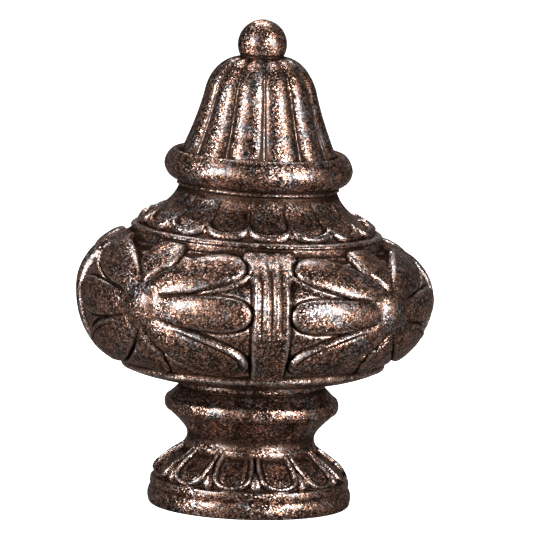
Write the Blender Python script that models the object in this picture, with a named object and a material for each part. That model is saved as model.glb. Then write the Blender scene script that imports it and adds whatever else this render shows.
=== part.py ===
"""Cast metal finial: one bronze-finished casting, 100 mm high.

A rounded base band carries a ring of lappets, a waisted neck with a ring, a wide bulb
carved with four palmettes and four reeded stems, a shoulder of sixteen petals, a plain
collar and a dome of twelve lobes with a ball on top.  The finial stands on its flat
underside: the origin is the centre of the underside and +Z is up.  One stem faces -Y.
"""
import math

import bmesh
import bpy
import numpy as np

MM = 0.001

# Heights of the turned bands, each measured on its own, from the underside up
BASE_BAND_HEIGHT = 3.7 * MM
BASE_FILLET_HEIGHT = 1.7 * MM
LAPPET_HEIGHT = 7.0 * MM
NECK_LIP_HEIGHT = 0.4 * MM
NECK_HEIGHT = 6.5 * MM
RING_HEIGHT = 3.1 * MM
RING_SLOPE_HEIGHT = 2.3 * MM
WAIST_FILLET_HEIGHT = 1.6 * MM
BULB_LOWER_HEIGHT = 17.7 * MM
BULB_UPPER_HEIGHT = 12.6 * MM
LEDGE_HEIGHT = 0.8 * MM
PETAL_HEIGHT = 8.4 * MM
COLLAR_FILLET_HEIGHT = 0.7 * MM
COLLAR_HEIGHT = 6.7 * MM
DOME_FLARE_HEIGHT = 12.2 * MM
DOME_CROWN_HEIGHT = 7.2 * MM

# Radii of the turned bands at their outermost carving
UNDERSIDE_RADIUS = 20.3 * MM
BASE_BAND_RADIUS = 21.05 * MM
BASE_GROOVE_RADIUS = 20.15 * MM
BASE_FILLET_RADIUS = 20.6 * MM
LAPPET_TOP_RADIUS = 13.9 * MM
NECK_RADIUS = 13.0 * MM
RING_EDGE_RADIUS = 17.25 * MM
RING_RADIUS = 18.05 * MM
WAIST_RADIUS = 15.3 * MM
BULB_RADIUS = 37.05 * MM
LEDGE_RADIUS = 26.4 * MM
PETAL_FOOT_RADIUS = 25.0 * MM
COLLAR_NECK_RADIUS = 16.4 * MM
COLLAR_RADIUS = 19.45 * MM
DOME_FOOT_RADIUS = 16.3 * MM
DOME_SHOULDER_RADIUS = 11.7 * MM
BALL_SEAT_RADIUS = 4.5 * MM
BALL_RADIUS = 5.1 * MM

# Carving: how far the ground lies under the outermost carving, and how often it repeats
LAPPET_COUNT = 12
LAPPET_DEPTH = 1.2 * MM
LEAF_DEPTH = 2.0 * MM
BOSS_HEIGHT = 0.7 * MM
PALMETTE_COUNT = 4
# The palmette's drawing: its half width, and its height below and above the belly
PATTERN_HALF_WIDTH = 29.1
PATTERN_BELOW = 30.9
PATTERN_ABOVE = 17.3
PETAL_COUNT = 16
PETAL_DEPTH = 1.5 * MM
LOBE_COUNT = 12
LOBE_SHARE = 0.115

# Surface grid before the flat stretches are thinned out, and the faces kept of it
GRID_STEPS = 384
ROW_STEP = 0.45 * MM
FACES_KEPT = 9700

BRONZE = (0.115, 0.062, 0.041, 1.0)


def bezier(start, handle_a, handle_b, end, count):
    """Points along one cubic curve, without its first point."""
    points = []
    for k in range(1, count + 1):
        t = k / count
        s = 1.0 - t
        weights = (s ** 3, 3 * s * s * t, 3 * s * t * t, t ** 3)
        knots = (start, handle_a, handle_b, end)
        points.append(tuple(sum(w * p[i] for w, p in zip(weights, knots)) for i in (0, 1)))
    return points


def swell(start, end, out, fullness, count):
    """Points of a roll from start to end that stands out to the radius out."""
    points = []
    for k in range(1, count + 1):
        side = -math.cos(math.pi * k / count)
        share = (1.0 - abs(side) ** fullness) ** (1.0 / fullness)
        inner = start[0] + (end[0] - start[0]) * k / count
        height = start[1] + (end[1] - start[1]) * (side + 1.0) / 2.0
        points.append((inner + (out - inner) * share, height))
    return points


def oval(start, end, belly, count, fullness=2.0):
    """Points of a quarter oval, level at the end whose height is not the belly's."""
    power = 2.0 / fullness
    points = []
    rising = abs(start[1] - belly[1]) > abs(end[1] - belly[1])
    far = start if rising else end
    for k in range(1, count + 1):
        turn = math.pi / 2 * (k / count)
        if rising:
            across, down = math.sin(turn) ** power, abs(math.cos(turn)) ** power
            radius = far[0] + (belly[0] - far[0]) * across
            height = belly[1] - (belly[1] - far[1]) * down
        else:
            radius = far[0] + (belly[0] - far[0]) * math.cos(turn)
            height = belly[1] + (far[1] - belly[1]) * math.sin(turn)
        points.append((radius, height))
    return points


def steps(length, finest=3):
    """How many rows a stretch of this length gets."""
    return max(finest, round(length / ROW_STEP))


def turned_bands():
    """The outer profile as named bands, each a list of (radius, height) from low to high."""
    bands = []
    height = 0.0
    at = (UNDERSIDE_RADIUS, 0.0)
    bands.append(("underside", [(0.0, 0.0), at]))

    def add(name, points):
        nonlocal at
        bands.append((name, points))
        at = points[-1]

    height += BASE_BAND_HEIGHT
    groove = (BASE_GROOVE_RADIUS, height)
    add("band", swell(at, groove, BASE_BAND_RADIUS, 2.0, 8))

    height += BASE_FILLET_HEIGHT
    add("fillet", swell(at, (BASE_FILLET_RADIUS - 0.15 * MM, height), BASE_FILLET_RADIUS, 2.0, 4))

    low = at
    height += LAPPET_HEIGHT
    top = (LAPPET_TOP_RADIUS, height)
    spread = low[0] - top[0]
    add("lappets", bezier(low, (low[0] + 0.02 * spread, low[1] + 0.46 * LAPPET_HEIGHT),
                          (top[0] + 0.35 * spread, top[1] - 0.26 * LAPPET_HEIGHT), top,
                          steps(1.4 * LAPPET_HEIGHT)))

    height += NECK_LIP_HEIGHT
    add("neck lip", [(LAPPET_TOP_RADIUS - 0.3 * MM, height)])

    low = at
    height += NECK_HEIGHT
    top = (RING_EDGE_RADIUS, height)
    pull = (low[0] - NECK_RADIUS) * 2.2
    add("neck", bezier(low, (low[0] - pull, low[1] + 0.33 * NECK_HEIGHT),
                       (NECK_RADIUS + 0.3 * (top[0] - NECK_RADIUS), top[1] - 0.43 * NECK_HEIGHT),
                       top, steps(NECK_HEIGHT)))

    height += RING_HEIGHT
    add("ring", swell(at, (RING_EDGE_RADIUS, height), RING_RADIUS, 2.0, 6))
    height += RING_SLOPE_HEIGHT
    add("ring slope", [(WAIST_RADIUS - 0.4 * MM, height)])
    height += WAIST_FILLET_HEIGHT
    add("waist", swell(at, (WAIST_RADIUS - 0.2 * MM, height), WAIST_RADIUS, 2.0, 4))

    belly = (BULB_RADIUS, height + BULB_LOWER_HEIGHT)
    lower = oval(at, belly, belly, 2 * steps(BULB_LOWER_HEIGHT), 2.15)
    height += BULB_LOWER_HEIGHT + BULB_UPPER_HEIGHT
    reach = (LEDGE_RADIUS - COLLAR_NECK_RADIUS) / (BULB_RADIUS - COLLAR_NECK_RADIUS)
    crown = BULB_UPPER_HEIGHT / math.sqrt(1.0 - reach * reach)
    full = oval(belly, (COLLAR_NECK_RADIUS, belly[1] + crown), belly,
                3 * steps(BULB_UPPER_HEIGHT))
    upper = [p for p in full if p[1] < height - 0.2 * MM]
    add("bulb", lower + upper + [(LEDGE_RADIUS, height)])

    height += LEDGE_HEIGHT
    foot = (PETAL_FOOT_RADIUS, height)
    add("ledge", bezier(at, (LEDGE_RADIUS + 0.1 * MM, at[1] + 0.5 * LEDGE_HEIGHT),
                        (LEDGE_RADIUS - 0.3 * MM, height - 0.1 * LEDGE_HEIGHT), foot, 4))

    low = at
    height += PETAL_HEIGHT
    top = (COLLAR_NECK_RADIUS + 0.1 * MM, height)
    spread = low[0] - top[0]
    add("petals", bezier(low, (top[0] + 0.95 * spread, low[1] + 0.38 * PETAL_HEIGHT),
                         (top[0] + 0.20 * spread, top[1] - 0.62 * PETAL_HEIGHT), top,
                         steps(1.6 * PETAL_HEIGHT)))

    height += COLLAR_FILLET_HEIGHT
    add("collar fillet", [(at[0] + 0.35 * MM, at[1]), (COLLAR_NECK_RADIUS, height)])
    height += COLLAR_HEIGHT
    add("collar", swell(at, (DOME_FOOT_RADIUS - 0.5 * MM, height), COLLAR_RADIUS, 1.75, 14))

    low = (DOME_FOOT_RADIUS, at[1])
    height += DOME_FLARE_HEIGHT
    top = (DOME_SHOULDER_RADIUS, height)
    spread = low[0] - top[0]
    flare = bezier(low, (low[0] - 0.38 * spread, low[1] + 0.32 * DOME_FLARE_HEIGHT),
                   (top[0] + 0.21 * spread, top[1] - 0.33 * DOME_FLARE_HEIGHT), top,
                   steps(DOME_FLARE_HEIGHT))
    low = top
    height += DOME_CROWN_HEIGHT
    top = (BALL_SEAT_RADIUS, height)
    spread = low[0] - top[0]
    crown = bezier(low, (low[0] - 0.11 * spread, low[1] + 0.46 * DOME_CROWN_HEIGHT),
                   (top[0] + 0.58 * spread, top[1] - 0.08 * DOME_CROWN_HEIGHT), top,
                   steps(1.5 * DOME_CROWN_HEIGHT))
    add("dome", [(DOME_FOOT_RADIUS, at[1] + 0.02 * MM)] + flare + crown)

    seat = math.sqrt(BALL_RADIUS ** 2 - BALL_SEAT_RADIUS ** 2)
    centre = at[1] + seat
    first = math.atan2(-seat, BALL_SEAT_RADIUS)
    ball = []
    for k in range(1, 13):
        turn = first + (math.pi / 2 - first) * k / 12
        ball.append((BALL_RADIUS * math.cos(turn), centre + BALL_RADIUS * math.sin(turn)))
    ball[-1] = (0.0, centre + BALL_RADIUS)
    add("ball", ball)
    return bands


def smooth(low, high, value):
    """0 below low, 1 above high, and an even slope between."""
    t = np.clip((value - low) / (high - low), 0.0, 1.0)
    return t * t * (3.0 - 2.0 * t)


def leaf(across, up, root, tip, bow, width, fattest, blunt):
    """A flat-topped pillow of a leaf from root to tip: 1 on its crown, 0 at its outline."""
    dx, dy = tip[0] - root[0], tip[1] - root[1]
    length = math.hypot(dx, dy)
    along = ((across - root[0]) * dx + (up - root[1]) * dy) / length ** 2
    side = ((up - root[1]) * dx - (across - root[0]) * dy) / length
    side = side - bow * 4.0 * along * (1.0 - along)
    behind = np.maximum((fattest - along) / fattest, 0.0) ** 1.7
    ahead = np.maximum((along - fattest) / (1.0 - fattest), 0.0) ** blunt
    out = (side / width) ** 2 + behind + ahead
    return np.clip(1.0 - out ** 2, 0.0, 1.0) ** 0.6


def repeat(turn, count):
    """Position across one of count equal repeats: 0 in its middle, -1 and 1 at its edges."""
    share = turn * count / (2.0 * math.pi)
    return 2.0 * (share - np.round(share))


def bulb_relief(turn, climb, length, belly):
    """Palmettes and reeded stems: 0 on the ground, 1 on the crowns of the leaves.

    x runs from the boss of a palmette to the middle of the stem, y up from the belly.
    """
    stem_side = np.abs(repeat(turn, PALMETTE_COUNT)) * PATTERN_HALF_WIDTH
    x = PATTERN_HALF_WIDTH - stem_side
    up = climb - belly
    y = np.where(up > 0, up * PATTERN_ABOVE / (length - belly), up * PATTERN_BELOW / belly)

    middle = leaf(x, y, (1.0, 0.2), (25.1, 0.2), 0.0, 3.95, 0.68, 2.8)
    upper = leaf(x, y, (-0.5, 1.6), (23.0, 12.6), 1.5, 4.6, 0.66, 2.8)
    lower = 0.98 * leaf(x, y, (-0.5, -1.2), (24.3, -13.2), -1.3, 5.0, 0.64, 2.8)
    tongue = 0.92 * leaf(x, y, (0.0, 1.0), (0.0, -17.6), 0.0, 4.0, 0.55, 3.0)
    hood = 0.92 * leaf(x, y, (0.0, -4.0), (0.0, 19.5), 0.0, 5.0, 0.74, 3.0)
    ground = 0.36 - 0.20 * smooth(3.0, 8.0, y) + 0.0 * x
    relief = np.maximum.reduce([ground, middle, upper, lower, tongue, hood])
    hollow = np.hypot((x - 9.8) / 4.8, (y - 14.9 + 0.04 * (x - 9.8)) / 1.15)
    relief = relief - 0.45 * (1.0 - smooth(0.5, 1.2, hollow))
    boss = np.clip(1.0 - (x / 3.8) ** 2 - ((y - 0.3) / 5.0) ** 2, 0.0, 1.0)

    half = 4.1 + 3.3 * smooth(6.5, 15.0, y)
    inside = np.clip(1.0 - (stem_side / half) ** 8, 0.0, 1.0)
    reeds = 1.0 + np.cos(2.0 * math.pi * stem_side / (half * 0.5))
    stem = 0.92 - 0.14 * reeds * smooth(-9.0, -2.0, y)
    relief = np.maximum(relief, np.sqrt(inside) * stem)
    relief = relief * smooth(-17.7, -16.4, y) * (1.0 - smooth(16.2, 16.8, y))
    under = 0.8 * (1.0 - smooth(-19.0, -17.4, y))
    return np.maximum(np.maximum(relief, under), smooth(16.7, 17.2, y)), boss


def lappet_relief(turn, share):
    """Hollowed lappets with a rolled edge, and a drop low down between each two."""
    side = np.abs(repeat(turn + math.pi / LAPPET_COUNT, LAPPET_COUNT))
    reach = 0.82 + 0.12 * smooth(0.3, 0.75, share)
    below = np.clip((0.36 - share) / 0.34, 0.0, 1.0)
    inside = 1.0 - np.hypot(side / reach, below)
    roll = np.sqrt(np.clip(1.0 - ((inside - 0.2) / 0.2) ** 2, 0.0, 1.0))
    dish = 0.4 * smooth(0.0, 0.12, inside)
    drop_side = (1.0 - side) / 0.17
    drop = np.sqrt(np.clip(1.0 - drop_side ** 2 - ((share - 0.3) / 0.26) ** 2, 0.0, 1.0))
    foot = 1.0 - smooth(0.0, 0.05, share)
    head = smooth(0.9, 1.0, share)
    return np.maximum.reduce([roll, dish, 0.9 * drop, foot, 0.8 * head])


def petal_relief(turn, share):
    """Broad petals that end in a thick roll along their scalloped lower edge."""
    side = np.abs(repeat(turn, PETAL_COUNT))
    scallop = 1.0 - np.sqrt(np.clip(1.0 - (0.97 * side) ** 2.2, 0.0, 1.0))
    above = share - 0.02 - 0.34 * scallop
    body = smooth(-0.015, 0.04, above)
    roll = np.sqrt(np.clip(1.0 - ((above - 0.1) / 0.12) ** 2, 0.0, 1.0))
    plain = (0.55 + 0.27 * smooth(0.35, 1.0, share)) * body
    seam = np.exp(-((1.0 - side) / 0.09) ** 2) * (1.0 - smooth(0.75, 0.95, share)) * body
    dart = 1.0 - ((1.0 - side) / 0.17) ** 2 - ((share - 0.27) / 0.13) ** 2
    relief = np.maximum(plain - 0.22 * seam, roll)
    relief = np.maximum(relief, 0.7 * np.sqrt(np.clip(dart, 0.0, 1.0)))
    top = smooth(0.93, 1.0, share)
    return np.clip(np.maximum(relief, top), 0.0, 1.0)


def lobe_relief(turn, share):
    """How deep the surface lies between the lobes of the dome, as a share of its radius."""
    side = np.abs(repeat(turn + math.pi / LOBE_COUNT, LOBE_COUNT))
    dip = 1.0 - np.sqrt(np.clip(1.0 - (0.985 * side) ** 2, 0.0, 1.0))
    foot = smooth(0.0, 0.035, share)
    round_foot = np.sqrt(np.clip(1.0 - (1.0 - np.clip(share / 0.06, 0.0, 1.0)) ** 2, 0.0, 1.0))
    head = 1.0 - smooth(0.93, 1.0, share)
    return LOBE_SHARE * (dip * foot * (0.25 + 0.75 * head) + 0.35 * (1.0 - round_foot))


def carved_mesh(bands):
    """Spin the profile into a closed body and sink its ground between the carving."""
    rows = []
    for number, (name, points) in enumerate(bands):
        for k, point in enumerate(points):
            rows.append((point[0], point[1], number, k))
    profile = np.array([(r, z) for r, z, _, _ in rows])
    run = np.concatenate([[0.0], np.cumsum(np.hypot(*np.diff(profile, axis=0).T))])
    tangent = np.gradient(profile, axis=0)
    tangent /= np.maximum(np.hypot(tangent[:, 0], tangent[:, 1]), 1e-12)[:, None]
    outward = np.stack([tangent[:, 1], -tangent[:, 0]], axis=1)

    bm = bmesh.new()
    row_layer = bm.verts.layers.int.new("row")
    chain = []
    for index, (radius, height) in enumerate(profile):
        vert = bm.verts.new((0.0, -radius, height))
        vert[row_layer] = index
        chain.append(vert)
    edges = [bm.edges.new(pair) for pair in zip(chain[:-1], chain[1:])]
    bmesh.ops.spin(bm, geom=chain + edges, cent=(0, 0, 0), axis=(0, 0, 1),
                   angle=2.0 * math.pi, steps=GRID_STEPS, use_merge=True)
    bmesh.ops.remove_doubles(bm, verts=bm.verts[:], dist=0.000001)
    bm.verts.ensure_lookup_table()

    verts = bm.verts[:]
    index = np.array([v[row_layer] for v in verts])
    place = np.array([v.co[:] for v in verts])
    turn = np.arctan2(place[:, 0], -place[:, 1])
    band_of = np.array([row[2] for row in rows])[index]
    radius = profile[index, 0]
    height = profile[index, 1]
    sink = np.zeros(len(verts))
    names = [name for name, _ in bands]

    def stretch(name):
        chosen = band_of == names.index(name)
        own = [i for i, row in enumerate(rows) if row[2] == names.index(name)]
        start, end = run[own[0] - 1], run[own[-1]]
        return chosen, run[index[chosen]] - start, end - start

    chosen, climb, length = stretch("lappets")
    sink[chosen] = LAPPET_DEPTH * (1.0 - lappet_relief(turn[chosen], climb / length))

    chosen, climb, length = stretch("petals")
    sink[chosen] = PETAL_DEPTH * (1.0 - petal_relief(turn[chosen], climb / length))

    chosen, climb, length = stretch("bulb")
    bulb_rows = [i for i, row in enumerate(rows) if row[2] == names.index("bulb")]
    fattest = max(bulb_rows, key=lambda i: profile[i, 0])
    belly = run[fattest] - run[bulb_rows[0] - 1]
    relief, boss = bulb_relief(turn[chosen], climb, length, belly)
    sink[chosen] = LEAF_DEPTH * (1.0 - relief) - BOSS_HEIGHT * boss

    chosen, climb, length = stretch("dome")
    sink[chosen] = radius[chosen] * lobe_relief(turn[chosen], climb / length)

    moved_radius = radius - outward[index, 0] * sink
    moved_height = height - outward[index, 1] * sink
    on_axis = radius < 1e-9
    moved_radius[on_axis] = 0.0
    for vert, angle, new_radius, new_height in zip(verts, turn, moved_radius, moved_height):
        vert.co = (new_radius * math.sin(angle), -new_radius * math.cos(angle), new_height)
    bmesh.ops.recalc_face_normals(bm, faces=bm.faces[:])
    mesh = bpy.data.meshes.new("finial carving")
    bm.to_mesh(mesh)
    bm.free()
    return mesh


def thinned(mesh):
    """Spend the faces on the carving: plain stretches keep only the faces they need."""
    helper = bpy.data.objects.new("finial carving", mesh)
    bpy.context.scene.collection.objects.link(helper)
    even = helper.modifiers.new("even faces", "TRIANGULATE")
    even.quad_method = "SHORTEST_DIAGONAL"
    triangles = sum(len(p.vertices) - 2 for p in mesh.polygons)
    thin = helper.modifiers.new("thin plain stretches", "DECIMATE")
    thin.decimate_type = "COLLAPSE"
    thin.ratio = min(1.0, FACES_KEPT / triangles)
    bpy.context.view_layer.update()
    depsgraph = bpy.context.evaluated_depsgraph_get()

    bm = bmesh.new()
    bm.from_object(helper, depsgraph)
    for vert in bm.verts:
        if vert.co.z < 0.06 * MM:
            vert.co.z = 0.0
    flat = [f for f in bm.faces if all(v.co.z == 0.0 for v in f.verts)]
    bmesh.ops.dissolve_faces(bm, faces=flat, use_verts=True)
    bmesh.ops.recalc_face_normals(bm, faces=bm.faces[:])
    result = bpy.data.meshes.new("finial")
    bm.to_mesh(result)
    bm.free()
    bpy.data.objects.remove(helper, do_unlink=True)
    return result


def bronze_finish():
    material = bpy.data.materials.new("bronze_finish")
    material.use_nodes = True
    shader = material.node_tree.nodes["Principled BSDF"]
    shader.inputs["Base Color"].default_value = BRONZE
    shader.inputs["Metallic"].default_value = 0.75
    shader.inputs["Roughness"].default_value = 0.38
    material.diffuse_color = BRONZE
    return material


def build():
    for old in list(bpy.data.objects):
        bpy.data.objects.remove(old, do_unlink=True)
    mesh = thinned(carved_mesh(turned_bands()))
    finial = bpy.data.objects.new("finial", mesh)
    bpy.context.scene.collection.objects.link(finial)
    mesh.materials.append(bronze_finish())
    mesh.shade_smooth()
    mesh.set_sharp_from_angle(angle=math.radians(50))


build()
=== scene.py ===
"""Cast metal finial with a dark bronze finish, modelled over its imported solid.

The casting is one piece: its turned profile is spun, the carving is pressed into it, and
fine faces are kept where the carving needs them. A pale floor, two large soft lights and
two small ones behind make the studio.
"""
import math

import bmesh
import bpy
import numpy as np
from bpy.props import (FloatProperty, FloatVectorProperty, IntProperty, PointerProperty)
from mathutils import Matrix, Vector


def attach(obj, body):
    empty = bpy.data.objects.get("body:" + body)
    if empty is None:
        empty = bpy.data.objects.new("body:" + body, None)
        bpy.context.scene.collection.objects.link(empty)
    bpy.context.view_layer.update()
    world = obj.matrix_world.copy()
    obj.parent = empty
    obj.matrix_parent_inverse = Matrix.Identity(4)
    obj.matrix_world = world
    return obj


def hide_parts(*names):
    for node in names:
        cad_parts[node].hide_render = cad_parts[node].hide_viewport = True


bl_info = {
    "name": "Cast Metal Finial",
    "version": (1, 0, 0),
    "blender": (4, 5, 0),
    "location": "3D View > Sidebar > Finial",
    "description": "Carved bronze-finished finial with its studio",
    "category": "Add Mesh",
}

MM = 0.001

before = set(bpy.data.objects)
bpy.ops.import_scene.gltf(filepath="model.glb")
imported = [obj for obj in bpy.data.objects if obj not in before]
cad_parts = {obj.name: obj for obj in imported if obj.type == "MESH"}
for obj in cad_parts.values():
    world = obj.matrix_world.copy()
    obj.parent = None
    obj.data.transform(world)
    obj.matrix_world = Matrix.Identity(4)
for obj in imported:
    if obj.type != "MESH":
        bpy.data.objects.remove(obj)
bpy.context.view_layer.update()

# Fullness of the rolls and of the bulb's underside: 2 is an ellipse, more is squarer.
ROUND = 2.0
COLLAR_FULLNESS = 1.75
UNDERSIDE_FULLNESS = 2.15

# The collar's inner rim, and the cleft between it and the dome.
RIM_WIDTH = 1.1 * MM
CLEFT_WIDTH = 0.1 * MM
CLEFT_DEPTH = 0.85 * MM

# Field of one palmette in mm: from its middle to the next stem, downwards and upwards.
PATTERN_HALF_WIDTH = 29.1
PATTERN_BELOW = 30.9
PATTERN_ABOVE = 17.3

# Leaves of one palmette in that field: root, tip, bow, half width, the share of its length
# where a leaf is fattest, and how blunt its tip is.
TONGUE = ((0.0, 1.0), (0.0, -17.6), 0.0, 4.0, 0.55, 3.0)
LOWER_LEAF = ((-0.5, -1.2), (24.3, -13.2), -1.3, 5.0, 0.64, 2.8)
HOOD = ((0.0, -4.0), (0.0, 19.5), 0.0, 5.0, 0.74, 3.0)
SLIVER = ((8.0, 4.0), (25.0, 10.0), -1.3, 0.95, 0.5, 2.0)
UPPER_LEAF = ((-0.5, 1.6), (23.0, 12.6), 1.5, 4.6, 0.66, 2.8)
MIDDLE_LEAF = ((1.0, 0.2), (25.1, 0.2), 0.0, 3.95, 0.68, 2.8)

# How high the ledge stands, as a share of the leaves' depth.
LEDGE_SHARE = 0.42

# Seed, knots along the profile and knots round the turn of the casting's soft waves.
LARGE_WAVES = (3, 26, 24)
SMALL_WAVES = (5, 70, 64)

# Edges and hollows stand out of their surroundings within a distance, and count fully
# from a height or depth on.
EDGE_REACH = 0.45 * MM
EDGE_HEIGHT = 0.30 * MM
HOLLOW_REACH = 1.6 * MM
HOLLOW_DEPTH = 0.55 * MM

# Height of the flat underside, and the share of its radius and height that the carved skin
# keeps, so that it stays inside the solid's box.
UNDERSIDE = 0.001 * MM
SNUG = 0.9985
SNUG_HEIGHT = 1.0 - 0.1 * (1.0 - SNUG)

# How much of the tilt the casting's rings have, at heights in mm.
ASKEW = ((5.0, 0.0), (8.0, 1.1), (12.0, 0.9), (20.0, 0.5), (25.0, 0.0), (33.0, -0.7),
         (43.0, 0.5), (52.0, 1.1), (57.0, 1.2), (61.0, 1.5), (70.0, 1.1), (80.0, 0.3),
         (92.0, 0.0))

# Where the studio points, and how far from there the lights hang.
STUDIO_MIDDLE = Vector((0.0, 0.0, 0.05))
LIGHT_DISTANCE = 0.8
LIGHT_COLOUR = (0.94, 0.96, 1.0)

# The photo in pixels: its side, its middle, the scale at the finial, and how far from its
# left and its upper edge the finial's middle stands.
PHOTO_SIDE = 533
PHOTO_MIDDLE = 266.5
PIXELS_PER_METRE = 4880.0
FINIAL_ACROSS = 255.8
FINIAL_DOWN = 262.5
SENSOR_WIDTH = 36.0


def length(name, description, millimetres):
    """A length of the panel, with its default in millimetres."""
    return FloatProperty(name=name, description=description, default=millimetres * MM,
                         min=0.0, unit="LENGTH", subtype="DISTANCE", precision=5)


def colour(name, description, value):
    """A colour of the panel."""
    return FloatVectorProperty(name=name, description=description, default=value,
                               size=4, min=0.0, max=1.0, subtype="COLOR")


class CastingSizes(bpy.types.PropertyGroup):
    """Sizes of the turned bands and of the carving."""
    base_band_height: length("Base Band Height", "Rounded band at the bottom", 3.7)
    base_fillet_height: length("Base Fillet Height", "Small roll over the base band", 1.7)
    lappet_height: length("Lappet Height", "Slope that carries the lappets", 7.0)
    neck_lip_height: length("Neck Lip Height", "Step between lappets and neck", 0.4)
    neck_height: length("Neck Height", "Waisted neck", 6.5)
    ring_height: length("Ring Height", "Rounded ring above the neck", 3.1)
    ring_slope_height: length("Ring Slope Height", "Cone from the ring to the waist", 2.3)
    waist_fillet_height: length("Waist Fillet Height", "Small roll under the bulb", 1.6)
    bulb_lower_height: length("Bulb Lower Height", "Underside of the bulb to its belly", 17.7)
    bulb_upper_height: length("Bulb Upper Height", "Belly of the bulb to the ledge", 12.6)
    ledge_height: length("Ledge Height", "Thin ledge on the bulb", 0.8)
    petal_height: length("Petal Height", "Shoulder with the petals", 8.4)
    collar_fillet_height: length("Collar Fillet Height", "Step under the collar", 0.7)
    collar_height: length("Collar Height", "Plain rounded collar", 6.7)
    dome_flare_height: length("Dome Flare Height", "Lower part of the lobed dome", 12.2)
    dome_crown_height: length("Dome Crown Height", "Upper part of the lobed dome", 7.2)

    underside_radius: length("Underside Radius", "Flat face it stands on", 20.3)
    base_band_radius: length("Base Band Radius", "Widest point of the base band", 21.05)
    base_groove_radius: length("Base Groove Radius", "Groove over the base band", 20.15)
    base_fillet_radius: length("Base Fillet Radius", "Small roll over the band", 20.6)
    lappet_top_radius: length("Lappet Top Radius", "Upper end of the lappets", 13.9)
    neck_radius: length("Neck Radius", "Thinnest point of the neck", 13.0)
    ring_edge_radius: length("Ring Edge Radius", "Where the ring's roll starts", 17.25)
    ring_radius: length("Ring Radius", "Widest point of the ring", 18.05)
    waist_radius: length("Waist Radius", "Small roll under the bulb", 15.3)
    bulb_radius: length("Bulb Radius", "Widest point of the leaves", 37.05)
    ledge_radius: length("Ledge Radius", "Thin ledge on the bulb", 26.4)
    petal_foot_radius: length("Petal Foot Radius", "Lower end of the petals", 25.0)
    collar_neck_radius: length("Collar Neck Radius", "Under the collar", 16.4)
    collar_radius: length("Collar Radius", "Widest point of the collar", 19.45)
    dome_foot_radius: length("Dome Foot Radius", "Lower end of the dome", 16.3)
    dome_shoulder_radius: length("Dome Shoulder Radius", "Where the dome turns in", 11.7)
    ball_seat_radius: length("Ball Seat Radius", "Where the ball sits", 4.5)
    ball_radius: length("Ball Radius", "Ball on top", 5.1)

    lappet_depth: length("Lappet Depth", "Ground between the lappets", 1.2)
    leaf_depth: length("Leaf Depth", "Ground between the leaves of the bulb", 2.0)
    boss_height: length("Boss Height", "Boss in the middle of each palmette", 0.7)
    petal_depth: length("Petal Depth", "Ground under the petals' lips", 1.5)
    unevenness: length("Unevenness", "Height of the casting's soft waves", 0.09)

    lappet_count: IntProperty(name="Lappets", description="Lappets round the foot",
                              default=12, min=3)
    palmette_count: IntProperty(name="Palmettes", description="Palmettes round the bulb",
                                default=4, min=1)
    petal_count: IntProperty(name="Petals", description="Petals round the shoulder",
                             default=16, min=3)
    lobe_count: IntProperty(name="Lobes", description="Lobes round the dome",
                            default=12, min=3)
    lobe_share: FloatProperty(name="Lobe Depth", description="Depth between the lobes as a "
                              "share of the dome's radius", default=0.115, min=0.0, max=0.5)
    foot_turn: FloatProperty(name="Foot Turn", description="Lappets against the stems",
                             default=math.radians(-1.6), subtype="ANGLE")
    petal_turn: FloatProperty(name="Petal Turn", description="Petals against the stems",
                              default=math.radians(1.2), subtype="ANGLE")
    dome_turn: FloatProperty(name="Dome Turn", description="Lobes against the stems",
                             default=math.radians(-1.8), subtype="ANGLE")
    tilt: FloatProperty(name="Tilt", description="How far the rings of the casting sit askew",
                        default=math.radians(1.3), subtype="ANGLE")
    columns: IntProperty(name="Columns", description="Steps of the spin", default=720, min=48)
    row_step: length("Row Step", "Distance between the rows of the profile", 0.3)
    faces_kept: IntProperty(name="Faces Kept", description="Triangles of the finished piece",
                            default=190000, min=1000, max=199000)


class FinishColours(bpy.types.PropertyGroup):
    """Colours and values of the bronze finish."""
    copper: colour("Copper", "Metallic paint on the crowns", (0.276, 0.145, 0.097, 1.0))
    brown: colour("Brown", "Metallic paint between the crowns", (0.150, 0.071, 0.042, 1.0))
    ember: colour("Ember", "Small dabs of warmer copper", (0.31, 0.135, 0.06, 1.0))
    patina: colour("Patina", "Grey-blue bloom in blotches", (0.070, 0.074, 0.080, 1.0))
    # Pale metal for the palest flakes, and on raised edges partly wear, partly painted highlight.
    wear_and_highlight: colour("Worn", "Bare metal on the sharpest edges", (0.50, 0.445, 0.415, 1.0))
    # Painted shade: the near-black colour put into the hollows and creases.
    crevice_shade: colour("Crevice", "Dark glaze left in the hollows", (0.020, 0.010, 0.006, 1.0))
    grain_size: length("Grain Size", "Size of the paint's flakes", 0.28)
    blotch_size: length("Blotch Size", "Size of the patina's blotches", 5.0)


class StudioSettings(bpy.types.PropertyGroup):
    """Floor, lights and camera."""
    floor_colour: colour("Floor Colour", "Plain pale floor", (0.93, 0.93, 0.93, 1.0))
    main_power: FloatProperty(name="Main Lights", description="Power of each large light",
                              default=16.0, min=0.0, unit="POWER")
    back_power: FloatProperty(name="Back Lights", description="Power of each light behind",
                              default=3.0, min=0.0, unit="POWER")
    camera_turn: FloatProperty(name="Camera Turn", description="Direction of the camera",
                               default=math.radians(-5.8), subtype="ANGLE")
    camera_lift: FloatProperty(name="Camera Lift", description="Camera above the horizon",
                               default=math.radians(8.05), subtype="ANGLE")
    camera_roll: FloatProperty(name="Camera Roll", description="Camera turned on its axis",
                               default=math.radians(1.75), subtype="ANGLE")
    camera_distance: FloatProperty(name="Camera Distance", description="To the middle",
                                   default=1.37, min=0.1, unit="LENGTH")


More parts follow.
